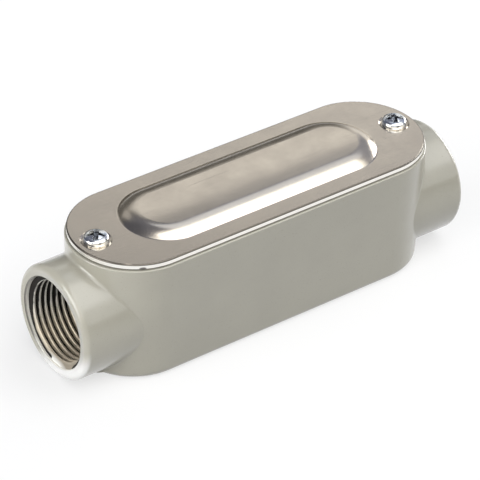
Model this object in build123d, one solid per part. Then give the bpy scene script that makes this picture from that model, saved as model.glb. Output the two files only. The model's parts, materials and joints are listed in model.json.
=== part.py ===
from build123d import *
import os
from math import sqrt

# A straight-through conduit body, type C, for 3/4 trade size threaded conduit.
# X runs along the conduit, Y across it, Z up out of the cover.
# The origin is the middle of the flat back, so the part stands on z = 0.
# Every length is in millimetres.

# Hubs, cast in one with the housing: a threaded bore that ends at a shoulder
thread_root_radius = 13.3
hub_wall = 3.3
hub_reach = 7.6
thread_depth = 15.0
shoulder_depth = 2.9
shoulder_thickness = 2.6
throat_edge_radius = 0.9
mouth_chamfer = 0.3
lip_radius = 1.8
hub_blend_radius = 0.8
hub_flat_depth = 0.05

# Housing: a trough with round ends, open at the top
rim_half_length = 57.45
side_shoulder = 2.15
side_wall = 2.4
floor_thickness = 2.6
draft_angle = 1.1
back_edge_radius = 2.2
floor_corner_radius = 2.0
rim_edge_radius = 0.4

# Screw bosses, standing on the hub tubes inside the round ends
boss_rise = 3.5
boss_radius = 4.0
boss_floor = 0.8
shelf_rise = 8.1

# Gasket between the rim and the cover
gasket_thickness = 0.5
gasket_inset = 0.5
gasket_land = 1.0

# Cover, pressed from sheet, with a raised panel and a dimple round each screw
cover_thickness = 1.45
cover_margin = 0.55
cover_edge_radius = 0.35
panel_half_length = 41.2
panel_half_width = 12.9
panel_flat_half_width = 7.6
panel_height = 2.0
panel_root_radius = 0.5
dimple_mouth_radius = 4.4
dimple_floor_radius = 3.8
dimple_depth = 0.3

# Cover screws, 6-32 pan head
screw_inset = 6.45
shank_radius = 1.7
shank_clearance = 0.05
cover_hole_clearance = 0.25
tip_clearance = 1.0
tip_chamfer = 0.3
head_radius = 3.45
head_height = 2.4
head_corner_radius = 1.3

# Places that follow from the sizes above
hub_radius = thread_root_radius + hub_wall
hub_axis_z = hub_radius - hub_flat_depth
rim_half_width = hub_radius + side_shoulder
round_end_x = rim_half_length - rim_half_width
hub_end_x = rim_half_length + hub_reach
shoulder_x = hub_end_x - thread_depth
chamber_end_x = shoulder_x - shoulder_thickness
throat_radius = thread_root_radius - shoulder_depth
rim_z = hub_axis_z + hub_radius + boss_rise
cover_z = rim_z + gasket_thickness
cover_top_z = cover_z + cover_thickness
cover_half_length = rim_half_length - cover_margin
cover_half_width = rim_half_width - cover_margin
chamber_half_length = rim_half_length - side_wall
chamber_half_width = rim_half_width - side_wall
screw_x = rim_half_length - screw_inset
boss_hole_depth = boss_rise + hub_wall - boss_floor
screw_seat_z = cover_top_z - dimple_depth
screw_tip_z = rim_z - boss_hole_depth + tip_clearance
SIDES = {"left": -1, "right": 1}


def stadium(half_length, half_width):
    """Outline with straight sides and full-round ends."""
    return SlotOverall(2 * half_length, 2 * half_width)


def along_x(radius, x_from, x_to):
    """Round bar on the hubs' axis, between two places along X."""
    bar = Cylinder(radius, abs(x_to - x_from), rotation=(0, 90, 0))
    return Pos((x_from + x_to) / 2, 0, hub_axis_z) * bar


def outer_trough():
    """Outside of the trough, leaning in to the back, with both its outer edges rounded."""
    rim = Pos(0, 0, rim_z) * stadium(rim_half_length, rim_half_width)
    trough = extrude(rim, -rim_z, taper=draft_angle)
    trough = fillet(trough.faces().sort_by(Axis.Z)[0].edges(), back_edge_radius)
    return fillet(trough.faces().sort_by(Axis.Z)[-1].edges(), rim_edge_radius)


def end_filling(side):
    """Solid left inside one round end: a shelf, the hub's tube, and the screw boss with its web."""
    end_length = rim_half_length - chamber_end_x
    shelf_z = hub_axis_z + shelf_rise
    shelf = Box(end_length, 2 * rim_half_width, shelf_z)
    filling = Pos(side * (chamber_end_x + end_length / 2), 0, shelf_z / 2) * shelf
    filling += along_x(hub_radius, side * chamber_end_x, side * rim_half_length)
    boss = SlotCenterToCenter(screw_inset, 2 * boss_radius)
    boss_x = side * (screw_x + screw_inset / 2)
    return filling + extrude(Pos(boss_x, 0, hub_axis_z) * boss, rim_z)


def chamber():
    """Hollow of the trough, stopping at the filling in each round end."""
    opening = Pos(0, 0, rim_z) * stadium(chamber_half_length, chamber_half_width)
    hollow = extrude(opening, floor_thickness - rim_z, taper=draft_angle)
    hollow = fillet(hollow.faces().sort_by(Axis.Z)[0].edges(), floor_corner_radius)
    for side in SIDES.values():
        hollow -= end_filling(side)
    return hollow


def hub_outside(side):
    """Hub on one end, with its rounded lip and the small blend where it leaves the round end.

    The blend is made on a trough that runs on below the back, so that it goes all round
    the hub, and is then cut off level with the back.
    """
    hub = along_x(hub_radius, side * round_end_x, side * hub_end_x)
    lip = hub.edges().filter_by(GeomType.CIRCLE).sort_by(Axis.X)[0 if side < 0 else -1]
    below = 3 * hub_blend_radius
    rim = Pos(0, 0, rim_z) * stadium(rim_half_length, rim_half_width)
    joined = extrude(rim, -(rim_z + below), taper=draft_angle) + fillet(lip, lip_radius)
    joined = fillet(joined.edges().filter_by(GeomType.BSPLINE), hub_blend_radius)
    collar_radius = hub_radius + 1.5 * hub_blend_radius
    joined &= along_x(collar_radius, side * round_end_x, side * (hub_end_x + lip_radius))
    return joined & Pos(0, 0, rim_z) * Box(4 * hub_end_x, 4 * hub_end_x, 2 * rim_z)


def hub_passage(side):
    """Way through one hub, turned as one profile: mouth, thread bore and rounded throat."""
    past_mouth = hub_end_x + mouth_chamfer
    past_throat = chamber_end_x - throat_edge_radius
    mouth_radius = thread_root_radius + mouth_chamfer
    r = throat_edge_radius
    profile = Polyline(
        (past_throat, 0),
        (past_throat, throat_radius + r),
        (chamber_end_x, throat_radius + r),
    )
    profile += RadiusArc((chamber_end_x, throat_radius + r), (chamber_end_x + r, throat_radius), r)
    profile += Line((chamber_end_x + r, throat_radius), (shoulder_x - r, throat_radius))
    profile += RadiusArc((shoulder_x - r, throat_radius), (shoulder_x, throat_radius + r), r)
    profile += Polyline(
        (shoulder_x, throat_radius + r),
        (shoulder_x, thread_root_radius),
        (hub_end_x - mouth_chamfer, thread_root_radius),
        (hub_end_x, mouth_radius),
        (past_mouth, mouth_radius),
        (past_mouth, 0),
        (past_throat, 0),
    )
    passage = revolve(Plane.XZ * make_face(profile), Axis.X)
    return Pos(0, 0, hub_axis_z) * Rot(0, 0, 0 if side > 0 else 180) * passage


def make_housing():
    """Trough and both hubs in one casting."""
    housing = outer_trough()
    for side in SIDES.values():
        housing += hub_outside(side)
    housing -= chamber()
    for side in SIDES.values():
        housing -= hub_passage(side)
        hole = Cylinder(shank_radius + shank_clearance, boss_hole_depth)
        housing -= Pos(side * screw_x, 0, rim_z - boss_hole_depth / 2) * hole
    return housing


def make_gasket():
    """Flat ring that seals the rim, with a hole round each dimple and a narrow land inside each hole."""
    outline = stadium(cover_half_length - gasket_inset, cover_half_width - gasket_inset)
    outline -= stadium(screw_x - dimple_mouth_radius - gasket_land, chamber_half_width)
    for side in SIDES.values():
        outline -= Pos(side * screw_x, 0) * Circle(dimple_mouth_radius)
    return extrude(Pos(0, 0, rim_z) * outline, gasket_thickness)


def crown(base_z, crown_radius, centre_z):
    """Raised panel as a solid over base_z: a flat top with an arc falling away all round.

    The arc is centred over the edge of the flat. It is drawn along the straight sides
    and turned about Z at both round ends.
    """
    arc_foot = panel_flat_half_width + sqrt(crown_radius**2 - (base_z - centre_z) ** 2)
    top_z = centre_z + crown_radius
    foot = (arc_foot, base_z)
    shoulder = (panel_flat_half_width, top_z)
    half = Polyline((0, top_z), (0, base_z), foot)
    half += RadiusArc(foot, shoulder, -crown_radius)
    half += Line(shoulder, (0, top_z))
    section = make_face(half)
    straight = 2 * (panel_half_length - panel_half_width)
    side_section = Plane.YZ * (section + mirror(section, Plane.YZ))
    panel = extrude(side_section, straight / 2, both=True)
    for side in SIDES.values():
        turned = revolve(Plane.XZ * section, Axis.Z)
        panel += Pos(side * straight / 2, 0, 0) * turned
    return panel


def make_cover():
    """Pressed cover: flat border, raised panel, and dimples that the screw heads sit in."""
    slope = panel_half_width - panel_flat_half_width
    crown_radius = (slope**2 + panel_height**2) / (2 * panel_height)
    centre_z = cover_top_z + panel_height - crown_radius
    plate = extrude(Pos(0, 0, cover_z) * stadium(cover_half_length, cover_half_width), cover_thickness)
    plate = fillet(plate.faces().sort_by(Axis.Z)[-1].edges(), cover_edge_radius)
    cover = plate + crown(cover_z, crown_radius, centre_z)
    roots = [
        edge
        for edge in cover.edges()
        if abs(edge.center().Z - cover_top_z) < 0.01
        and abs((edge @ 0.5).X) < panel_half_length + panel_root_radius
        and abs((edge @ 0.5).Y) < panel_half_width + panel_root_radius
    ]
    cover = fillet(roots, panel_root_radius)
    cover -= crown(cover_z, crown_radius - cover_thickness, centre_z)
    hole_radius = shank_radius + cover_hole_clearance
    for side in SIDES.values():
        dimple = Cone(dimple_floor_radius, dimple_mouth_radius, dimple_depth)
        cover += Pos(side * screw_x, 0, cover_z - dimple_depth / 2) * dimple
        cover -= Pos(side * screw_x, 0, cover_top_z - dimple_depth / 2) * dimple
        cover -= Pos(side * screw_x, 0, cover_z) * Cylinder(hole_radius, 4 * cover_thickness)
    return cover


def make_screw(side):
    """Pan head screw about its own axis. The shank is at the outside of its thread."""
    head = Pos(0, 0, screw_seat_z + head_height / 2) * Cylinder(head_radius, head_height)
    head = fillet(head.faces().sort_by(Axis.Z)[-1].edges(), head_corner_radius)
    shank_length = screw_seat_z - screw_tip_z
    shank = Pos(0, 0, screw_tip_z + shank_length / 2) * Cylinder(shank_radius, shank_length)
    shank = chamfer(shank.faces().sort_by(Axis.Z)[0].edges(), tip_chamfer)
    return Pos(side * screw_x, 0, 0) * (head + shank)


os.makedirs("parts", exist_ok=True)
export_step(make_housing(), "parts/housing.step")
export_step(make_gasket(), "parts/cover_gasket.step")
export_step(make_cover(), "parts/cover.step")
for name, side in SIDES.items():
    export_step(make_screw(side), f"parts/cover_screw_{name}.step")
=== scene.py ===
"""Looks of a straight conduit body: painted casting, cut threads, pressed cover and cover screws."""
import json
from math import cos, pi, radians, sin

import bpy
import numpy as np
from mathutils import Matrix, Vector


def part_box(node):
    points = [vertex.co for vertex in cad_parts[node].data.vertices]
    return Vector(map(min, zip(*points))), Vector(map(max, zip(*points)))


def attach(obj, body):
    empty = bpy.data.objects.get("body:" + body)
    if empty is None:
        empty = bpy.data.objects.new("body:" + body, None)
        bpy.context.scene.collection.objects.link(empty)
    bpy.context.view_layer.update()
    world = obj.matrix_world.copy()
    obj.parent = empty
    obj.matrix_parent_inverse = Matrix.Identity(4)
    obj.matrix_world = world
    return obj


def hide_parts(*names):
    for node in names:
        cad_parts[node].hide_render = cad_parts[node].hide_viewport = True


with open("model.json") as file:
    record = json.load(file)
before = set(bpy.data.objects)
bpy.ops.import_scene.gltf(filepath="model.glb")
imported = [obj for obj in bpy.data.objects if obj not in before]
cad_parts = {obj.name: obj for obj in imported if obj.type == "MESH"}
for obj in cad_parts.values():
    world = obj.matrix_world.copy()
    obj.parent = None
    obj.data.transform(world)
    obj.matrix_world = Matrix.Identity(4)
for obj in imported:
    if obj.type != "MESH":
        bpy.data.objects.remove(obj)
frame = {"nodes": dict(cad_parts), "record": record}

bl_info = {
    "name": "Conduit Body Looks",
    "version": (1, 0, 0),
    "blender": (4, 5, 0),
    "location": "3D View > Sidebar > Conduit Body",
    "description": "Finishes, threads, gasket and screws of a straight conduit body, with its stage",
    "category": "Object",
}

MM = 0.001
MOUNTS = {mount["name"]: mount for mount in frame["record"]["mounts"]}
NODE_BOX = {name: [np.array(corner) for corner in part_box(name)] for name in frame["nodes"]}
SIDES = ("left", "right")
HUB_AXIS_Z = MOUNTS["hub_left"]["pos_m"][2]
BORE_RADIUS = MOUNTS["hub_left"]["dims"]["r_mm"] * MM
HUB_END = float(NODE_BOX["housing"][1][0])

# The cover's sizes, as in the part's source
PANEL_STRAIGHT = 28.3 * MM
PANEL_HALF_WIDTH = 12.9 * MM
SHEET_THICKNESS = 1.45 * MM

EDGE_SHADE = (0.05, 0.045, 0.035)
WHITE = (1.0, 1.0, 1.0)
SKY = (0.85, 0.9, 1.15)


# Meshes


def grid_faces(rows, columns, round_rows, round_columns):
    """Four corner numbers of every face of a grid of points, closed in either direction if asked."""
    i = np.arange(rows if round_rows else rows - 1)[:, None]
    j = np.arange(columns if round_columns else columns - 1)[None, :]
    i_next = (i + 1) % rows
    j_next = (j + 1) % columns
    corners = [i * columns + j, i * columns + j_next, i_next * columns + j_next, i_next * columns + j]
    return np.stack(np.broadcast_arrays(*corners), axis=-1).reshape(-1, 4)


def make_mesh_object(name, parts, material, sharp_angle=40.0):
    """One object from (points, list of face arrays) parts, smooth except where it turns sharply."""
    points, faces, start = [], [], 0
    for part_points, part_faces in parts:
        flat = np.asarray(part_points, float).reshape(-1, 3)
        points.append(flat)
        for face_array in part_faces:
            faces.extend((face_array + start).tolist())
        start += len(flat)
    mesh = bpy.data.meshes.new(name)
    mesh.from_pydata(np.concatenate(points), [], faces)
    mesh.validate()
    mesh.polygons.foreach_set("use_smooth", np.ones(len(mesh.polygons), bool))
    mesh.set_sharp_from_angle(angle=radians(sharp_angle))
    mesh.materials.append(material)
    made = bpy.data.objects.new(name, mesh)
    bpy.context.scene.collection.objects.link(made)
    return made


def store_values(made, name, values):
    """One number at each vertex, for the material to read."""
    attribute = made.data.attributes.new(name, "FLOAT", "POINT")
    attribute.data.foreach_set("value", np.asarray(values, np.float32))


def on_x_axis(along, radius, turn):
    """Places along the hubs' axis: along X, with the radius turned from Y towards Z."""
    return np.stack([along, radius * np.cos(turn), HUB_AXIS_Z + radius * np.sin(turn)], axis=-1)


def on_screw_axis(centre_x, along, radius, turn):
    """Places about an upright axis through centre_x: along Z, with the radius turned from X towards Y."""
    return np.stack([centre_x + radius * np.cos(turn), radius * np.sin(turn), along], axis=-1)


def helical_ridge(first, last, start_turn, pitch, wall, ridge, sink, steps_a_turn, fade_turns, limits=None):
    """Right-hand thread ridge as one closed tube.

    At turn angle start_turn + t the ridge's middle is at first + pitch * t / (2 pi) along the axis. Its outline
    is the list ridge of (offset along the axis, height), and its radius is wall + height times a fade that
    rises from nothing and falls back to nothing over fade_turns at both ends. Its foot lies sink under the wall.
    limits, a function of (along, radius), may cut the ridge back. Returns along, radius, turn and height share.
    """
    turns = (last - first) / pitch
    turn = np.linspace(0.0, 2 * pi * turns, int(turns * steps_a_turn) + 1)[:, None]
    outline = np.array(ridge)
    tallest = outline[np.abs(outline[:, 1]).argmax(), 1]
    fade = np.clip(np.minimum(turn, turn[-1] - turn) / (2 * pi * fade_turns), 0.0, 1.0)
    fade = fade * fade * (3 - 2 * fade)
    buried = -np.sign(tallest) * sink
    faded_out = 0.4 * buried
    height = faded_out + fade * (outline[None, :, 1] - faded_out)
    foot = np.full((len(turn), 2), buried)
    height = np.concatenate([height, foot], axis=1)
    offsets = np.concatenate([outline[:, 0], [outline[-1, 0] * 0.9, outline[0, 0] * 0.9]])
    along = first + pitch * turn / (2 * pi) + offsets[None, :]
    turn = start_turn + turn
    radius = wall + height
    if limits is not None:
        radius = limits(along, radius)
    return along, radius, np.broadcast_to(turn, along.shape), np.clip((radius - wall) / tallest, 0, 1)


def tube_faces(rows, columns, flip):
    """Faces of a closed tube with a flat end at each of its two ends."""
    sides = grid_faces(rows, columns, False, True)
    start = np.arange(columns)[None, ::-1]
    end = np.arange((rows - 1) * columns, rows * columns)[None, :]
    faces = [sides, start, end]
    return [face[:, ::-1] for face in faces] if flip else faces


# Nodes of materials


class Tree:
    """Adds nodes to a material's or the world's tree, each with its inputs given by name or number."""

    def __init__(self, owner):
        owner.use_nodes = True
        self.nodes, self.links = owner.node_tree.nodes, owner.node_tree.links
        self.nodes.clear()

    def add(self, kind, inputs=None, **settings):
        node = self.nodes.new(kind)
        for name, value in settings.items():
            setattr(node, name, value)
        for name, value in (inputs or {}).items():
            socket = node.inputs[name]
            if isinstance(value, bpy.types.NodeSocket):
                self.links.new(value, socket)
            else:
                socket.default_value = value
        return node

    def mapped(self, place, **inputs):
        """A place turned or stretched about the origin."""
        return self.add("ShaderNodeMapping", {"Vector": place, **inputs}).outputs[0]

    def position(self, scale=(1.0, 1.0, 1.0)):
        """Object coordinates, stretched along the axes."""
        return self.mapped(self.add("ShaderNodeTexCoord").outputs["Object"], Scale=scale)

    def split(self, place):
        """The parts of a place, by the names X, Y and Z."""
        return self.add("ShaderNodeSeparateXYZ", {"Vector": place}).outputs

    def dot(self, first, second):
        inputs = {0: first, 1: second}
        return self.add("ShaderNodeVectorMath", inputs, operation="DOT_PRODUCT").outputs["Value"]

    def noise(self, place, scale, detail=2.0, roughness=0.5):
        inputs = {"Vector": place, "Scale": scale, "Detail": detail, "Roughness": roughness}
        return self.add("ShaderNodeTexNoise", inputs).outputs["Fac"]

    def remap(self, value, low, high, new_low, new_high, smooth=False):
        inputs = {"Value": value, "From Min": low, "From Max": high, "To Min": new_low, "To Max": new_high}
        kind = "SMOOTHSTEP" if smooth else "LINEAR"
        return self.add("ShaderNodeMapRange", inputs, interpolation_type=kind).outputs[0]

    def math(self, operation, first, second=0.5):
        return self.add("ShaderNodeMath", {0: first, 1: second}, operation=operation).outputs[0]

    def length(self, first, second):
        """Root of the sum of two numbers' squares."""
        squares = [self.math("MULTIPLY", part, part) for part in (first, second)]
        return self.math("SQRT", self.math("ADD", *squares))

    def mix(self, share, first, second):
        """The first colour where the share is 0, going over into the second where it is 1."""
        return self.add("ShaderNodeMix", {0: share, 6: first, 7: second}, data_type="RGBA").outputs[2]

    def bump(self, height, distance, strength=1.0, below=None):
        inputs = {"Height": height, "Distance": distance, "Strength": strength}
        if below is not None:
            inputs["Normal"] = below
        return self.add("ShaderNodeBump", inputs).outputs[0]

    def surface(self, **inputs):
        """The main shader and the output. A socket's name is written with _ for each space."""
        named = {name.replace("_", " "): value for name, value in inputs.items()}
        shader = self.add("ShaderNodeBsdfPrincipled", named)
        self.add("ShaderNodeOutputMaterial", {"Surface": shader.outputs[0]})


def colour(rgb, share=1.0):
    """A colour with all its parts times share, opaque."""
    return (*(part * share for part in rgb[:3]), 1.0)


def new_material(name):
    made = bpy.data.materials.new(name)
    return made, Tree(made)


def cast_paint_material(options):
    """Semi-gloss enamel on a casting: faint orange peel, fine grain of the metal below, small specks.

    At each hub's mouth the lip is a little paler and rounds over into the bore, its low front side has a painted
    highlight near white, a thin dark line of painted shade runs along the bore's far upper edge, and the cut wall
    inside is bare metal.
    """
    made, tree = new_material("cast_enamel")
    place = tree.position()
    clouds = tree.remap(tree.noise(place, 45.0, 3.0, 0.6), 0.35, 0.65, 0, 1)
    base = tree.mix(clouds, colour(options.tint, 0.97), colour(options.tint, 1.03))
    specks = tree.remap(tree.noise(place, 2600.0, 1.0), 0.68, 0.74, 0.0, options.speck_strength)
    base = tree.mix(specks, base, colour(options.tint, 0.45))
    peel = tree.bump(tree.noise(place, 520.0), 0.03 * MM, options.peel_strength)
    grain = tree.bump(tree.noise(place, 2400.0, 2.0, 0.6), 0.01 * MM, options.peel_strength, peel)
    waves = tree.bump(tree.noise(place, 60.0, 1.0), 0.35 * MM, 0.2, grain)
    patches = tree.noise(place, 150.0, 3.0, 0.6)
    dull = tree.remap(patches, 0.3, 0.7, options.roughness - 0.04, options.roughness + 0.05)
    mouth = hub_mouth(tree, place)
    waves = tree.bump(mouth["rounding"], 0.5 * MM, mouth["lip"], waves)
    base = tree.mix(mouth["lip"], base, colour(options.tint, 1.03))
    # Painted highlight: the lip's low front side is mixed towards near white.
    base = tree.mix(tree.math("MULTIPLY", mouth["highlighted"], 0.85), base, colour(options.highlight_tint))
    base = tree.mix(mouth["bare"], base, colour(options.cut_tint))
    # Painted shade: a thin dark line along the bore's far upper edge at the mouth.
    base = tree.mix(tree.math("MULTIPLY", mouth["edge_shade_line"], 0.85), base, colour(EDGE_SHADE))
    tree.surface(
        Base_Color=base,
        Metallic=tree.math("MULTIPLY", mouth["bare"], 0.1),
        Roughness=dull,
        Normal=waves,
        Coat_Weight=options.lacquer,
        Coat_Roughness=0.06,
        Coat_Normal=waves,
    )
    return made


def hub_mouth(tree, place):
    """Shares from 0 to 1 that mark parts of each hub's mouth, by name.

    bare is the cut wall of the bore, edge_shade_line a thin line of painted shade at the mouth's far upper edge,
    lip the end of the hub, rounding the rise from the bore's edge to the lip, and highlighted the lip's low front
    side, which gets a painted highlight.
    """
    parts = tree.split(place)
    along = tree.math("ABSOLUTE", parts["X"])
    up = tree.math("SUBTRACT", parts["Z"], HUB_AXIS_Z)
    out = tree.length(parts["Y"], up)
    edge = BORE_RADIUS + 0.15 * MM
    in_hub = tree.math("GREATER_THAN", along, HUB_END - 15.2 * MM)
    bare = tree.math("MULTIPLY", tree.remap(out, edge - 0.10 * MM, edge, 1.0, 0.0), in_hub)
    from_edge = tree.math("ABSOLUTE", tree.math("SUBTRACT", out, edge))
    at_end = tree.math("GREATER_THAN", along, HUB_END - 0.45 * MM)
    far_up = tree.math("ADD", parts["Y"], tree.math("MULTIPLY", up, 0.35))
    # A thin line along the bore's edge, for the painted shade.
    on_line = tree.math("MULTIPLY", tree.remap(from_edge, 0.12 * MM, 0.22 * MM, 1.0, 0.0), at_end)
    lip = tree.remap(along, HUB_END - 1.9 * MM, HUB_END - 0.9 * MM, 0.0, 1.0, smooth=True)
    # The lip's low front side, which gets the painted highlight.
    front_down = tree.math("ADD", tree.math("MULTIPLY", parts["Y"], -0.45), tree.math("MULTIPLY", up, -0.89))
    low_side = tree.remap(front_down, 7.0 * MM, 13.0 * MM, 0.0, 1.0, smooth=True)
    return {
        "bare": bare,
        "edge_shade_line": tree.math("MULTIPLY", on_line, tree.remap(far_up, 1.0 * MM, 6.0 * MM, 0.0, 1.0)),
        "lip": lip,
        "rounding": tree.remap(out, BORE_RADIUS, BORE_RADIUS + 2.0 * MM, 0.0, 1.0, smooth=True),
        "highlighted": tree.math("MULTIPLY", low_side, lip),
    }


def sheet_metal_material(options):
    """Bare pressed sheet: fine rolling lines along X, clouded brightness, dull patches and hair scratches."""
    made, tree = new_material("bare_pressed_sheet")
    place = tree.position()
    clouds = tree.remap(tree.noise(place, 70.0, 4.0, 0.6), 0.3, 0.7, 0, 1)
    base = tree.mix(clouds, colour(options.tint, 0.95), colour(options.tint, 1.03))
    mottle = tree.remap(tree.noise(place, 900.0, 3.0, 0.7), 0.3, 0.7, 0.0, 0.25)
    base = tree.mix(mottle, base, colour(options.tint, 0.86))
    lines = tree.noise(tree.position((0.06, 1.0, 1.0)), 2600.0, 2.0, 0.6)
    grain = tree.bump(lines, 0.01 * MM, options.grain_strength)
    pitted = tree.bump(tree.noise(place, 1700.0, 2.0, 0.6), 0.01 * MM, options.grain_strength, grain)
    slanted = tree.mapped(place, Rotation=(0, 0, 0.5), Scale=(0.03, 1, 1))
    scratches = tree.remap(tree.noise(slanted, 1500.0, 1.0, 0.4), 0.70, 0.76, 0.0, 1.0)
    scored = tree.bump(scratches, -0.01 * MM, 0.5, pitted)
    sag = tree.bump(tree.noise(place, 38.0, 1.0, 0.4), 0.6 * MM, options.waviness, scored)
    patches = tree.noise(place, 110.0, 4.0, 0.65)
    dull = tree.remap(patches, 0.3, 0.7, options.roughness - 0.03, options.roughness + 0.04)
    at_edge, edge = cut_edge(tree, place, options)
    tree.surface(
        Base_Color=tree.mix(at_edge, base, edge),
        Metallic=1.0,
        Roughness=tree.math("ADD", dull, tree.math("MULTIPLY", at_edge, 0.15)),
        Normal=bowed_panel(tree, place, options, sag),
    )
    return made


def bowed_panel(tree, place, options, below):
    """Normals of the raised panel's top, which bows up: it falls gently to the far side, and a little to the
    near side. Outside the panel the normals stay as they are.
    """
    across = tree.split(place)["Y"]
    far_fall = tree.remap(across, -3.0 * MM, 16.5 * MM, 1.0, 0.0, smooth=True)
    near_fall = tree.remap(across, -PANEL_HALF_WIDTH, -3.0 * MM, 0.0, 0.28, smooth=True)
    from_spine = away_from_spine(tree, place, PANEL_STRAIGHT)
    on_panel = tree.remap(from_spine, PANEL_HALF_WIDTH, PANEL_HALF_WIDTH + 0.5 * MM, 1.0, 0.0)
    return tree.bump(tree.math("ADD", far_fall, near_fall), options.bow, on_panel, below)


def cut_edge(tree, place, options):
    """Share and colour of the sheet's cut edge: bright, with a dark line of painted shade on top, and a small dark
    spot.
    """
    low, high = NODE_BOX["cover"]
    from_spine = away_from_spine(tree, place, high[0] - high[1])
    at_edge = tree.remap(from_spine, high[1] - 0.36 * MM, high[1] - 0.30 * MM, 0.0, 1.0)
    top = low[2] + SHEET_THICKNESS
    # Painted shade: a dark line on top of the cut edge, standing in for the shade of a sharp edge.
    top_line_shade = tree.remap(tree.split(place)["Z"], top - 0.16 * MM, top - 0.10 * MM, 0.0, 1.0)
    tint = tree.mix(top_line_shade, colour(options.edge_tint), colour(options.tint, 0.22))
    # A small dark spot on the edge.
    flatten = 2.4
    dark_spot_place = (-46.8 * MM, -15.6 * MM, 37.3 * MM * flatten)
    inputs = {0: tree.mapped(place, Scale=(1.0, 1.0, flatten)), 1: dark_spot_place}
    from_dark_spot = tree.add("ShaderNodeVectorMath", inputs, operation="DISTANCE").outputs["Value"]
    dark_spot = tree.remap(from_dark_spot, 0.9 * MM, 1.3 * MM, 0.85, 0.0)
    return at_edge, tree.mix(dark_spot, tint, colour((0.06, 0.055, 0.05)))


def away_from_spine(tree, place, half_length):
    """Distance in plan from the line that runs half_length to both sides along X."""
    parts = tree.split(place)
    past_end = tree.math("SUBTRACT", tree.math("ABSOLUTE", parts["X"]), float(half_length))
    return tree.length(tree.math("MAXIMUM", past_end, 0.0), parts["Y"])


def rubber_material():
    """Dark gasket rubber with a dusty, uneven face."""
    made, tree = new_material("gasket_rubber")
    place = tree.position()
    rubber, dust = colour((0.10, 0.095, 0.085)), colour((0.19, 0.18, 0.16))
    tree.surface(
        Base_Color=tree.mix(tree.noise(place, 900.0, 3.0, 0.7), rubber, dust),
        Roughness=tree.remap(tree.noise(place, 500.0), 0.3, 0.7, 0.6, 0.8),
        Normal=tree.bump(tree.noise(place, 1400.0), 0.04 * MM, 0.6),
    )
    return made


def cut_thread_material(options):
    """Thread cut in cast metal: bright crests, flanks painted near black as shade high in the bore, and painted
    pale and tan as light low in the bore.

    The outermost turn is darkened as painted shade, and its lowest part is painted near white as a highlight.
    """
    made, tree = new_material("cut_thread")
    place = tree.position()
    parts = tree.split(place)
    share = tree.add("ShaderNodeAttribute", attribute_name="ridge_height_and_highlight").outputs["Fac"]
    patches = tree.remap(tree.noise(place, 400.0, 3.0, 0.6), 0.3, 0.7, -0.06, 0.06)
    # Painted light: lower in the bore more of the ridge turns pale, and its face turns tan.
    lit = tree.remap(parts["Z"], HUB_AXIS_Z - 1.0 * MM, HUB_AXIS_Z - 8.0 * MM, 0.0, 1.0)
    pale_from = tree.remap(lit, 0.0, 1.0, options.clean_from, options.lit_from)
    pale = tree.remap(tree.math("SUBTRACT", tree.math("ADD", share, patches), pale_from), 0.0, 0.12, 0.0, 1.0)
    # Painted shade and highlight: the outermost turn is darkened, and its lowest part is painted near white.
    outer = tree.remap(tree.math("ABSOLUTE", parts["X"]), HUB_END - 1.9 * MM, HUB_END - 1.2 * MM, 0.0, 1.0)
    lowest = tree.remap(parts["Z"], HUB_AXIS_Z - 11.7 * MM, HUB_AXIS_Z - 12.9 * MM, 0.0, 1.0)
    face = tree.mix(lit, colour(options.crest_tint), colour(options.lit_tint))
    shade_and_highlight = tree.mix(lowest, colour(options.lit_tint, 0.55), colour(options.mouth_highlight_tint))
    face = tree.mix(outer, face, shade_and_highlight)
    metal = tree.math("MULTIPLY", tree.remap(pale, 0.0, 1.0, 0.0, 0.6), tree.remap(outer, 0.0, 1.0, 1.0, 0.3))
    # Painted shade: where the ridge is not pale, the flanks take a near-black colour.
    shaded = tree.remap(pale, 0.0, 1.0, 0.3, 0.0)
    tree.surface(
        Base_Color=tree.mix(pale, colour(options.flank_shade_tint), face),
        Metallic=metal,
        Specular_IOR_Level=0.15,
        Roughness=tree.math("ADD", shaded, tree.remap(tree.noise(place, 700.0), 0.3, 0.7, 0.35, 0.45)),
        Normal=tree.bump(tree.noise(place, 1800.0), 0.01 * MM, 0.5),
    )
    return made


def zinc_material(options):
    """Bright zinc plate with faint blue and straw clouds, and painted shade low in the recess."""
    made, tree = new_material("bright_zinc")
    place = tree.position()
    clouds = tree.remap(tree.noise(place, 320.0, 3.0, 0.6), 0.35, 0.65, 0.0, 1.0)
    plate = tree.mix(clouds, colour(options.cool_tint), colour(options.warm_tint))
    depth = tree.add("ShaderNodeAttribute", attribute_name="recess_depth").outputs["Fac"]
    # Painted shade: the recess turns dark towards its bottom, unevenly.
    deep = tree.remap(depth, 0.1, 0.5, 0.0, 1.0)
    unevenness = tree.remap(tree.noise(place, 900.0, 3.0, 0.7), 0.3, 0.6, 0.75, 1.0)
    shade = tree.math("MULTIPLY", deep, unevenness)
    patches = tree.noise(place, 800.0, 3.0, 0.6)
    tree.surface(
        Base_Color=tree.mix(shade, plate, colour(options.shade_tint)),
        Metallic=1.0,
        Roughness=tree.remap(patches, 0.3, 0.7, options.roughness - 0.04, options.roughness + 0.08),
        Normal=tree.bump(tree.noise(place, 1500.0), 0.01 * MM, 0.7),
    )
    return made


# Settings


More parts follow.
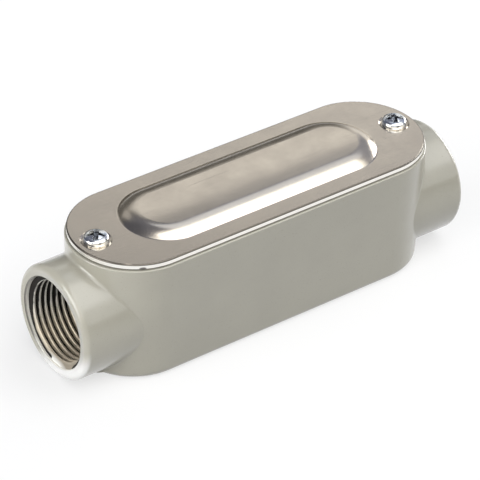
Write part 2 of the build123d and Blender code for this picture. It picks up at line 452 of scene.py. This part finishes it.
class CONDUIT_PG_paint(bpy.types.PropertyGroup):
    """Finish of the casting."""

    tint: bpy.props.FloatVectorProperty(
        name="Enamel colour", description="Colour of the enamel", subtype="COLOR", size=3, min=0, max=1,
        default=(0.345, 0.331, 0.275),
    )
    cut_tint: bpy.props.FloatVectorProperty(
        name="Cut metal", description="Colour of the bare metal cut inside the hubs", subtype="COLOR", size=3,
        min=0, max=1, default=(0.90, 0.88, 0.80),
    )
    # Colour of the painted highlight on the lip's low front side.
    highlight_tint: bpy.props.FloatVectorProperty(
        name="Worn lip", description="Colour of the worn low side of each hub's lip", subtype="COLOR", size=3,
        min=0, max=1, default=(0.82, 0.82, 0.81),
    )
    roughness: bpy.props.FloatProperty(
        name="Roughness", description="Dullness of the enamel", subtype="FACTOR", default=0.34, min=0.1, max=1,
    )
    lacquer: bpy.props.FloatProperty(
        name="Gloss skin", description="Strength of the glossy skin", subtype="FACTOR", default=0.9, min=0, max=1,
    )
    peel_strength: bpy.props.FloatProperty(
        name="Orange peel", description="Strength of the fine unevenness", subtype="FACTOR", default=0.5,
        min=0, max=1,
    )
    speck_strength: bpy.props.FloatProperty(
        name="Specks", description="Strength of the small dark specks", subtype="FACTOR", default=0.25,
        min=0, max=1,
    )


class CONDUIT_PG_cover(bpy.types.PropertyGroup):
    """Finish of the pressed cover."""

    tint: bpy.props.FloatVectorProperty(
        name="Metal colour", description="Colour of the bare sheet", subtype="COLOR", size=3, min=0, max=1,
        default=(0.675, 0.607, 0.51),
    )
    edge_tint: bpy.props.FloatVectorProperty(
        name="Edge colour", description="Colour of the sheet's bright cut edge", subtype="COLOR", size=3,
        min=0, max=1, default=(0.97, 0.95, 0.90),
    )
    roughness: bpy.props.FloatProperty(
        name="Roughness", description="Dullness of the sheet", subtype="FACTOR", default=0.20, min=0.05, max=1,
    )
    grain_strength: bpy.props.FloatProperty(
        name="Rolling grain", description="Strength of the fine rolling lines", subtype="FACTOR", default=0.5,
        min=0, max=1,
    )
    waviness: bpy.props.FloatProperty(
        name="Waviness", description="Slow unevenness of the pressed sheet", subtype="FACTOR", default=0.12,
        min=0, max=1,
    )
    bow: bpy.props.FloatProperty(
        name="Bow", description="How far the pressed panel bows up", unit="LENGTH", default=0.74 * MM,
        precision=5,
    )


class CONDUIT_PG_thread(bpy.types.PropertyGroup):
    """Pipe thread cut in both hubs."""

    pitch: bpy.props.FloatProperty(
        name="Pitch", description="Distance from crest to crest, 14 to the inch", unit="LENGTH",
        default=25.4 * MM / 14, min=0.0005, precision=5,
    )
    crest_radius: bpy.props.FloatProperty(
        name="Crest radius", description="Radius inside the crests", unit="LENGTH", default=11.65 * MM,
        precision=5,
    )
    groove_radius: bpy.props.FloatProperty(
        name="Groove radius", description="Radius at the bottom of the grooves", unit="LENGTH",
        default=12.88 * MM, precision=5,
    )
    length: bpy.props.FloatProperty(
        name="Length", description="Depth of the threaded bore", unit="LENGTH",
        default=MOUNTS["hub_left"]["dims"]["length_mm"] * MM + 0.3 * MM, precision=5,
    )
    lead_in: bpy.props.FloatProperty(
        name="Lead-in", description="Width of the smooth ring before the first ridge", unit="LENGTH",
        default=0.55 * MM, precision=5,
    )
    first_depth: bpy.props.FloatProperty(
        name="First ridge", description="Depth of the ridge's middle where it starts", unit="LENGTH",
        default=1.18 * MM, precision=5,
    )
    start_turn: bpy.props.FloatProperty(
        name="Start", description="Where round the bore the ridge starts", subtype="ANGLE", default=radians(-187),
    )
    clean_from: bpy.props.FloatProperty(
        name="Bare height, high", subtype="FACTOR", default=0.88, min=0, max=1,
        description="Share of the ridge's height above which it is bare, high in the bore",
    )
    # Painted light: share of the ridge's height above which it is pale, low in the bore.
    lit_from: bpy.props.FloatProperty(
        name="Bare height, low", subtype="FACTOR", default=0.42, min=0, max=1,
        description="Share of the ridge's height above which it is dusty, low in the bore",
    )
    crest_tint: bpy.props.FloatVectorProperty(
        name="Crest colour", description="Colour of the bare crests", subtype="COLOR", size=3, min=0, max=1,
        default=(0.78, 0.76, 0.70),
    )
    # Near-black colour of the flanks: painted shade.
    flank_shade_tint: bpy.props.FloatVectorProperty(
        name="Flank colour", description="Colour of the oily flanks", subtype="COLOR", size=3, min=0, max=1,
        default=(0.018, 0.016, 0.014),
    )
    # Colour of the painted highlight in the lowest part of the mouth.
    mouth_highlight_tint: bpy.props.FloatVectorProperty(
        name="Rubbed colour", description="Colour of the bright lowest part of the mouth", subtype="COLOR", size=3,
        min=0, max=1, default=(0.85, 0.84, 0.80),
    )
    # Tan colour of the flanks low in the bore: painted light.
    lit_tint: bpy.props.FloatVectorProperty(
        name="Dust colour", description="Colour of the flanks low in the bore", subtype="COLOR", size=3,
        min=0, max=1,
        default=(0.56, 0.49, 0.38),
    )


class CONDUIT_PG_screw(bpy.types.PropertyGroup):
    """Pan head cover screws, 6-32, with a cross recess."""

    pitch: bpy.props.FloatProperty(
        name="Pitch", description="Distance from crest to crest, 32 to the inch", unit="LENGTH",
        default=25.4 * MM / 32, min=0.0002, precision=5,
    )
    root_radius: bpy.props.FloatProperty(
        name="Root radius", description="Radius at the root of the thread", unit="LENGTH", default=1.27 * MM,
        precision=5,
    )
    crest_radius: bpy.props.FloatProperty(
        name="Crest radius", description="Radius at the crest of the thread", unit="LENGTH", default=1.69 * MM,
        precision=5,
    )
    head_height: bpy.props.FloatProperty(
        name="Head height", description="Height of the pan head", unit="LENGTH", default=2.4 * MM, precision=5,
    )
    corner_radius: bpy.props.FloatProperty(
        name="Head corner", description="Radius of the head's upper corner", unit="LENGTH", default=1.3 * MM,
        precision=5,
    )
    recess_span: bpy.props.FloatProperty(
        name="Recess span", description="Length of the recess across the head", unit="LENGTH", default=4.8 * MM,
        precision=5,
    )
    recess_width: bpy.props.FloatProperty(
        name="Recess width", description="Width of each wing of the recess", unit="LENGTH", default=1.35 * MM,
        precision=5,
    )
    recess_depth: bpy.props.FloatProperty(
        name="Recess depth", description="Depth of the recess at its middle", unit="LENGTH", default=1.8 * MM,
        precision=5,
    )
    left_turn: bpy.props.FloatProperty(
        name="Left recess turn", description="How far the left recess is turned", subtype="ANGLE",
        default=radians(-37),
    )
    right_turn: bpy.props.FloatProperty(
        name="Right recess turn", description="How far the right recess is turned", subtype="ANGLE",
        default=radians(-28),
    )
    cool_tint: bpy.props.FloatVectorProperty(
        name="Cool colour", description="Bluish clouds of the zinc", subtype="COLOR", size=3, min=0, max=1,
        default=(0.80, 0.85, 0.92),
    )
    warm_tint: bpy.props.FloatVectorProperty(
        name="Warm colour", description="Straw clouds of the zinc", subtype="COLOR", size=3, min=0, max=1,
        default=(0.90, 0.89, 0.84),
    )
    # Colour of the painted shade in the recess.
    shade_tint: bpy.props.FloatVectorProperty(
        name="Grime", description="Colour of the grime in the recess", subtype="COLOR", size=3, min=0, max=1,
        default=(0.05, 0.058, 0.07),
    )
    roughness: bpy.props.FloatProperty(
        name="Roughness", description="Dullness of the plating", subtype="FACTOR", default=0.14, min=0.05, max=1,
    )


class CONDUIT_PG_stage(bpy.types.PropertyGroup):
    """Floor, lights and camera."""

    floor_size: bpy.props.FloatProperty(
        name="Floor size", description="Side of the floor", unit="LENGTH", default=6.0,
    )
    camera_place: bpy.props.FloatVectorProperty(
        name="Camera place", description="Where the camera stands", subtype="TRANSLATION", unit="LENGTH", size=3,
        default=(-0.41014, -0.52028, 0.49216),
    )
    camera_turn: bpy.props.FloatVectorProperty(
        name="Camera turn", description="How the camera is turned", subtype="EULER", unit="ROTATION", size=3,
        default=(radians(54.3847), radians(-2.0409), radians(-36.6205)),
    )
    camera_lens: bpy.props.FloatProperty(
        name="Focal length", description="Focal length of the camera", unit="CAMERA", default=219.46,
    )
    floor_white: bpy.props.FloatProperty(
        name="Floor white", description="Share of plain white in the floor as the camera sees it", subtype="FACTOR",
        default=0.62, min=0, max=1,
    )
    wall_level: bpy.props.FloatProperty(
        name="Walls", description="Brightness of the walls", default=0.16, min=0,
    )
    ceiling_level: bpy.props.FloatProperty(
        name="Ceiling", description="Brightness of the dark ceiling", default=0.18, min=0,
    )
    light_level: bpy.props.FloatProperty(
        name="Lights", description="Share of the brightness of all the cards", default=0.97, min=0,
    )


GROUPS = {
    "conduit_paint": CONDUIT_PG_paint,
    "conduit_cover": CONDUIT_PG_cover,
    "conduit_thread": CONDUIT_PG_thread,
    "conduit_screw": CONDUIT_PG_screw,
    "conduit_stage": CONDUIT_PG_stage,
}


def finish_node(name, material):
    """Gives a node of the frame its material in every slot."""
    for slot in frame["nodes"][name].material_slots:
        slot.material = material


# Operators


class CONDUIT_OT_housing(bpy.types.Operator):
    """Give the casting its enamel"""

    bl_idname = "conduit.housing"
    bl_label = "Finish Housing"

    def execute(self, context):
        finish_node("housing", cast_paint_material(context.scene.conduit_paint))
        return {"FINISHED"}


class CONDUIT_OT_gasket(bpy.types.Operator):
    """Give the gasket its rubber"""

    bl_idname = "conduit.gasket"
    bl_label = "Finish Gasket"

    def execute(self, context):
        finish_node("cover_gasket", rubber_material())
        return {"FINISHED"}


class CONDUIT_OT_cover(bpy.types.Operator):
    """Give the pressed cover its bare metal"""

    bl_idname = "conduit.cover"
    bl_label = "Finish Cover"

    def execute(self, context):
        finish_node("cover", sheet_metal_material(context.scene.conduit_cover))
        return {"FINISHED"}


class CONDUIT_OT_threads(bpy.types.Operator):
    """Cut the pipe thread in both hubs"""

    bl_idname = "conduit.threads"
    bl_label = "Add Hub Threads"

    def execute(self, context):
        options = context.scene.conduit_thread
        material = cut_thread_material(options)
        along, radius, turn, share = bore_ridge(options)
        left = on_x_axis(along, radius, turn)
        for side_name, half_turn in zip(SIDES, ((1, 1, 1), (-1, -1, 1))):
            points = left * half_turn
            parts = [(points, tube_faces(*points.shape[:2], flip=True))]
            made = make_mesh_object(f"hub_thread_{side_name}", parts, material, 25.0)
            store_values(made, "ridge_height_and_highlight", share.ravel())
            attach(made, "housing")
        return {"FINISHED"}


def bore_ridge(options):
    """The left hub's thread ridge as helical_ridge gives it, with a cone that opens to the bore at the lead-in's
    depth and cuts it back. Its height share is set to 1 in the lowest part of the mouth, for a painted highlight
    there.
    """
    half = options.pitch * 0.503
    crest_half, corner_half, corner_drop = 0.20 * MM, 0.25 * MM, 0.07 * MM
    groove = options.groove_radius - BORE_RADIUS
    crest = options.crest_radius - BORE_RADIUS
    ridge = [
        (-half, groove),
        (-corner_half, crest + corner_drop),
        (-crest_half, crest),
        (crest_half, crest),
        (corner_half, crest + corner_drop),
        (half, groove),
    ]
    cone_slope, least_sunk, most_sunk = 1.5, 0.02 * MM, 0.3 * MM

    def cut_by_lead_in(along, radius):
        past_lead_in = HUB_END + along - options.lead_in
        cone = BORE_RADIUS + least_sunk - cone_slope * past_lead_in
        return np.maximum(radius, np.minimum(cone, BORE_RADIUS + most_sunk))

    along, radius, turn, share = helical_ridge(
        -HUB_END + options.first_depth, -HUB_END + options.length - options.pitch / 2, options.start_turn,
        options.pitch, BORE_RADIUS, ridge, 0.35 * MM, 144, 0.15, cut_by_lead_in,
    )
    # Painted highlight: the share is set to 1 low in the mouth, so the material paints it near white there.
    low = np.clip((-np.sin(turn) - 0.3 * np.cos(turn) - 0.93) / 0.06, 0.0, 1.0)
    near_mouth = np.clip((1.35 * MM - HUB_END - along) / (0.2 * MM), 0.0, 1.0)
    return along, radius, turn, np.maximum(share, low * near_mouth)


class CONDUIT_OT_screws(bpy.types.Operator):
    """Make both cover screws, with recess and thread"""

    bl_idname = "conduit.screws"
    bl_label = "Add Cover Screws"

    def execute(self, context):
        options = context.scene.conduit_screw
        material = zinc_material(options)
        for side_name in SIDES:
            node = f"cover_screw_{side_name}"
            low, high = NODE_BOX[node]
            centre_x = (low[0] + high[0]) / 2
            head_radius = (high[0] - low[0]) / 2
            turned = options.left_turn if side_name == "left" else options.right_turn
            parts, depths = screw_parts(options, centre_x, head_radius, low[2], high[2], turned)
            made = make_mesh_object(node + "_threaded", parts, material, 35.0)
            store_values(made, "recess_depth", depths)
            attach(made, f"screw_{side_name}")
            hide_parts(node)
        return {"FINISHED"}


def recess_share(across, along, span, width, wall):
    """How deep the cross recess is at a point, from 0 on the head's face to 1 in its middle.

    Each wing is a bar of the given span and width, its distance inside the outline is the smaller of the
    distances to its sides and ends, and the share rises over the wall. The bottom slopes up towards the ends.
    """

    def inside(first, second):
        return np.minimum(width / 2 - np.abs(first), (span / 2 - np.abs(second)) * 0.7)

    middle = width * 0.78 - np.hypot(across, along)
    depth_in = np.maximum(np.maximum(inside(across, along), inside(along, across)), middle)
    rise = np.clip(depth_in / wall, 0, 1)
    slope = 1 - 0.55 * np.clip(np.hypot(across, along) / (span / 2), 0, 1)
    return rise * rise * (3 - 2 * rise) * slope


def screw_profile(options, head_radius, tip_z, top_z):
    """Rings of a screw from the middle of the head over its corner, under it, down the shank and to the tip.

    The head's top is a parabola that falls by the dome's height, its corner a quarter of an ellipse. Returns the
    rings' radii, their levels, and how many of them lie on top.
    """
    seat_z = top_z - options.head_height
    corner = options.corner_radius
    root = options.root_radius
    dome, bevel, under_bevel, tip_bevel = 0.45 * MM, 0.12 * MM, 0.15 * MM, 0.35 * MM
    face = head_radius - corner
    rings = np.linspace(0.0, face, 44)[1:]
    arc = np.linspace(pi / 2, 0.0, 15)[1:]
    radius = np.concatenate([
        rings,
        face + corner * np.cos(arc),
        [head_radius, head_radius - bevel, root + under_bevel, root, root, root * 0.75],
    ])
    level = np.concatenate([
        top_z - dome * (rings / face) ** 2,
        top_z - dome - (corner - dome) * (1 - np.sin(arc)),
        [seat_z + bevel, seat_z, seat_z, seat_z - under_bevel, tip_z + tip_bevel, tip_z],
    ])
    return radius, level, len(rings) + len(arc)


def screw_parts(options, centre_x, head_radius, tip_z, top_z, turned):
    """A screw as a profile turned about its axis, its recess pressed in, with a thread ridge round its shank.

    Returns the parts for make_mesh_object and the recess's share of its depth at each vertex.
    """
    columns = 192
    radius, level, rings_on_top = screw_profile(options, head_radius, tip_z, top_z)
    rows = len(radius)
    around = np.broadcast_to(np.linspace(0, 2 * pi, columns, endpoint=False)[None, :], (rows, columns))
    out = np.broadcast_to(radius[:, None], around.shape)
    heights = np.broadcast_to(level[:, None], around.shape)
    share = recess_share(
        out * np.cos(around - turned), out * np.sin(around - turned),
        options.recess_span, options.recess_width, 0.16 * MM,
    ) * (np.arange(rows) < rings_on_top)[:, None]
    turned_points = on_screw_axis(centre_x, heights - options.recess_depth * share, out, around).reshape(-1, 3)
    poles = np.array([[centre_x, 0, top_z - options.recess_depth], [centre_x, 0, tip_z]])
    body = np.concatenate([turned_points, poles])
    sides = grid_faces(rows, columns, False, True)[:, ::-1]
    ring = np.arange(columns)
    following = (ring + 1) % columns
    top_pole, tip_pole = rows * columns, rows * columns + 1
    last = (rows - 1) * columns
    top_fan = np.stack([np.full(columns, top_pole), ring, following], axis=1)
    tip_fan = np.stack([np.full(columns, tip_pole), last + following, last + ring], axis=1)
    thread = on_screw_axis(centre_x, *shank_ridge(options, tip_z, top_z - options.head_height))
    parts = [(body, [sides, top_fan, tip_fan]), (thread, tube_faces(*thread.shape[:2], flip=False))]
    depths = np.concatenate([share.ravel(), [1.0, 0.0], np.zeros(thread.shape[0] * thread.shape[1])])
    return parts, depths


def shank_ridge(options, tip_z, seat_z):
    """A screw's thread ridge from above its tip to below its head, as along, radius and turn."""
    tall = options.crest_radius - options.root_radius
    half, shoulder = options.pitch * 0.48, options.pitch * 0.12
    ridge = [(-half, 0.0), (-shoulder, 0.93 * tall), (0.0, tall), (shoulder, 0.93 * tall), (half, 0.0)]
    return helical_ridge(
        tip_z + 0.45 * MM, seat_z - 0.9 * MM, 0.0, options.pitch, options.root_radius, ridge, 0.15 * MM, 48, 0.4,
    )[:3]


class CONDUIT_OT_stage(bpy.types.Operator):
    """Add the floor, the lights and the camera"""

    bl_idname = "conduit.stage"
    bl_label = "Add Stage"

    def execute(self, context):
        options = context.scene.conduit_stage
        add_floor(options)
        light_world(context.scene, options)
        add_camera(context.scene, options)
        context.scene.view_settings.view_transform = "Standard"
        return {"FINISHED"}


def add_floor(options):
    """A flat pale floor under the part. It is white to the camera and in reflections, and keeps the shadow."""
    made, tree = new_material("pale_floor")
    rays = tree.add("ShaderNodeLightPath").outputs
    mirrored = tree.math("MAXIMUM", rays["Is Glossy Ray"], rays["Is Transmission Ray"])
    seen = tree.math("MAXIMUM", rays["Is Camera Ray"], mirrored)
    place = tree.position()
    parts = tree.split(place)
    to_left = tree.remap(parts["X"], -0.05, -0.09, 0.0, 1.0)
    dim, bright, pale = colour((0.28, 0.28, 0.278)), colour((0.75, 0.75, 0.745)), colour((0.78, 0.78, 0.775))
    bounce = tree.mix(to_left, dim, bright)
    matt = tree.add("ShaderNodeBsdfDiffuse", {"Color": tree.mix(seen, bounce, pale)})
    dark_behind = tree.remap(tree.dot(place, (-0.25, 0.97, 0.0)), 0.12, 0.24, 0.0, 0.8)
    dark_in_front = tree.remap(parts["Y"], -0.08, -0.14, 0.0, 0.7)
    black_cards = tree.math("MULTIPLY", tree.math("MAXIMUM", dark_behind, dark_in_front), mirrored)
    level = tree.math("SUBTRACT", 1.0, black_cards)
    white = tree.add("ShaderNodeEmission", {"Color": colour(WHITE), "Strength": level})
    share = tree.math("MULTIPLY", seen, options.floor_white)
    both = tree.add("ShaderNodeMixShader", {0: share, 1: matt.outputs[0], 2: white.outputs[0]})
    tree.add("ShaderNodeOutputMaterial", {"Surface": both.outputs[0]})
    half = options.floor_size / 2
    corners = np.array([(-half, -half, 0), (half, -half, 0), (half, half, 0), (-half, half, 0)])
    mesh = bpy.data.meshes.new("floor")
    mesh.from_pydata(corners, [], [[0, 1, 2, 3]])
    mesh.materials.append(made)
    floor = bpy.data.objects.new("floor", mesh)
    bpy.context.scene.collection.objects.link(floor)


def soft_card(tree, toward, centre, half_size, soft_border, roll):
    """Share of a distant card seen along a direction: 1 inside, falling to 0 over its soft border.

    The direction is divided by its part towards the card's middle, which puts it on the card's plane, and its
    distances across and up are compared with the half sizes. Both pairs are given across first, then up.
    """
    middle = Vector(centre).normalized()
    level = Vector((0, 0, 1)).cross(middle).normalized()
    across = level * cos(roll) + middle.cross(level) * sin(roll)
    up = middle.cross(across)
    toward_middle = tree.dot(toward, middle)
    ahead = tree.math("MAXIMUM", toward_middle, 0.001)
    shares = []
    for axis, half, soft in zip((across, up), half_size, soft_border):
        reach = tree.math("ABSOLUTE", tree.math("DIVIDE", tree.dot(toward, axis), ahead))
        shares.append(tree.remap(reach, half, half + soft, 1.0, 0.0))
    in_front = tree.math("GREATER_THAN", toward_middle, 0.02)
    return tree.math("MULTIPLY", tree.math("MULTIPLY", *shares), in_front)


CARDS = (
    # name, direction of its middle, half width and height, soft border across and up, roll, tint, brightness
    ("flag", (0.35, 0.92, 0.15), (0.36, 0.42), (0.15, 0.15), 0.0, (1.0, 0.98, 0.95), 0.14),
    ("strip", (0.61, 0.61, 0.507), (0.25, 0.030), (0.50, 0.12), 0.0, WHITE, 1.15),
    ("back card", (0.0, 0.88, 0.47), (0.10, 0.14), (0.06, 0.06), 0.0, WHITE, 0.55),
    ("high back", (-0.70, 0.55, 0.55), (0.50, 0.60), (0.20, 0.20), 0.0, SKY, 0.13),
    ("right wall", (0.78, 0.60, 0.17), (0.14, 0.22), (0.08, 0.08), 0.0, WHITE, 1.0),
    ("right light", (0.98, 0.17, 0.12), (0.24, 0.24), (0.10, 0.10), 0.0, WHITE, 8.0),
    ("side light", (-0.97, 0.06, 0.18), (0.30, 0.36), (0.10, 0.10), 0.0, WHITE, 6.4),
    ("fill light", (-0.45, -0.54, 0.71), (0.35, 0.35), (0.15, 0.15), 0.0, WHITE, 2.1),
    ("soft box", (0.46, -0.495, 0.737), (0.43, 0.75), (0.07, 0.07), radians(-20), WHITE, 1.25),
    ("upper soft box", (0.232, -0.392, 0.955), (0.40, 0.36), (0.20, 0.20), radians(-20), WHITE, 3.1),
    ("edge of the box", (0.50, 0.32, 0.80), (0.28, 0.17), (0.05, 0.05), radians(52), (0.90, 0.96, 1.08), 1.05),
    ("right card", (0.80, 0.245, 0.545), (0.42, 0.20), (0.05, 0.05), 0.0, (0.88, 0.93, 1.15), 0.36),
)


def light_world(scene, options):
    """Studio round the part: walls, a dark ceiling, and the table's cards one over the other."""
    world = scene.world or bpy.data.worlds.new("studio")
    scene.world = world
    tree = Tree(world)
    toward = tree.add("ShaderNodeTexCoord").outputs["Generated"]
    ceiling = tree.remap(tree.split(toward)["Z"], 0.50, 0.72, 0.0, 1.0, smooth=True)
    room = tree.mix(ceiling, colour(WHITE, options.wall_level), colour(SKY, options.ceiling_level))
    for _, centre, half_size, soft_border, roll, tint, level in CARDS:
        share = soft_card(tree, toward, centre, half_size, soft_border, roll)
        room = tree.mix(share, room, colour(tint, level * options.light_level))
    background = tree.add("ShaderNodeBackground", {"Color": room, "Strength": 1.0})
    white = tree.add("ShaderNodeBackground", {"Color": colour(WHITE), "Strength": 1.0})
    seen = tree.add("ShaderNodeLightPath").outputs["Is Camera Ray"]
    shown = tree.add("ShaderNodeMixShader", {0: seen, 1: background.outputs[0], 2: white.outputs[0]})
    tree.add("ShaderNodeOutputWorld", {"Surface": shown.outputs[0]})


def add_camera(scene, options):
    """The camera, where it stood for the photograph."""
    data = bpy.data.cameras.new("camera")
    data.lens = options.camera_lens
    data.sensor_width = 36.0
    camera = bpy.data.objects.new("camera", data)
    camera.location = options.camera_place
    camera.rotation_euler = options.camera_turn
    scene.collection.objects.link(camera)
    scene.camera = camera


class CONDUIT_PT_panel(bpy.types.Panel):
    """Settings and makers of the conduit body"""

    bl_label = "Conduit Body"
    bl_idname = "CONDUIT_PT_panel"
    bl_space_type = "VIEW_3D"
    bl_region_type = "UI"
    bl_category = "Conduit Body"

    def draw(self, context):
        for name, group in GROUPS.items():
            box = self.layout.box()
            box.label(text=group.__doc__)
            for setting in group.__annotations__:
                box.prop(getattr(context.scene, name), setting)
        for maker in OPERATORS:
            self.layout.operator(maker.bl_idname)


OPERATORS = (
    CONDUIT_OT_housing,
    CONDUIT_OT_gasket,
    CONDUIT_OT_cover,
    CONDUIT_OT_threads,
    CONDUIT_OT_screws,
    CONDUIT_OT_stage,
)
CLASSES = (*GROUPS.values(), *OPERATORS, CONDUIT_PT_panel)


def register():
    for cls in CLASSES:
        bpy.utils.register_class(cls)
    for name, group in GROUPS.items():
        setattr(bpy.types.Scene, name, bpy.props.PointerProperty(type=group))


def unregister():
    for name in GROUPS:
        delattr(bpy.types.Scene, name)
    for cls in reversed(CLASSES):
        bpy.utils.unregister_class(cls)


def main():
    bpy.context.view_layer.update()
    register()
    bpy.ops.conduit.housing()
    bpy.ops.conduit.gasket()
    bpy.ops.conduit.cover()
    bpy.ops.conduit.threads()
    bpy.ops.conduit.screws()
    bpy.ops.conduit.stage()


if __name__ == "__main__":
    main()
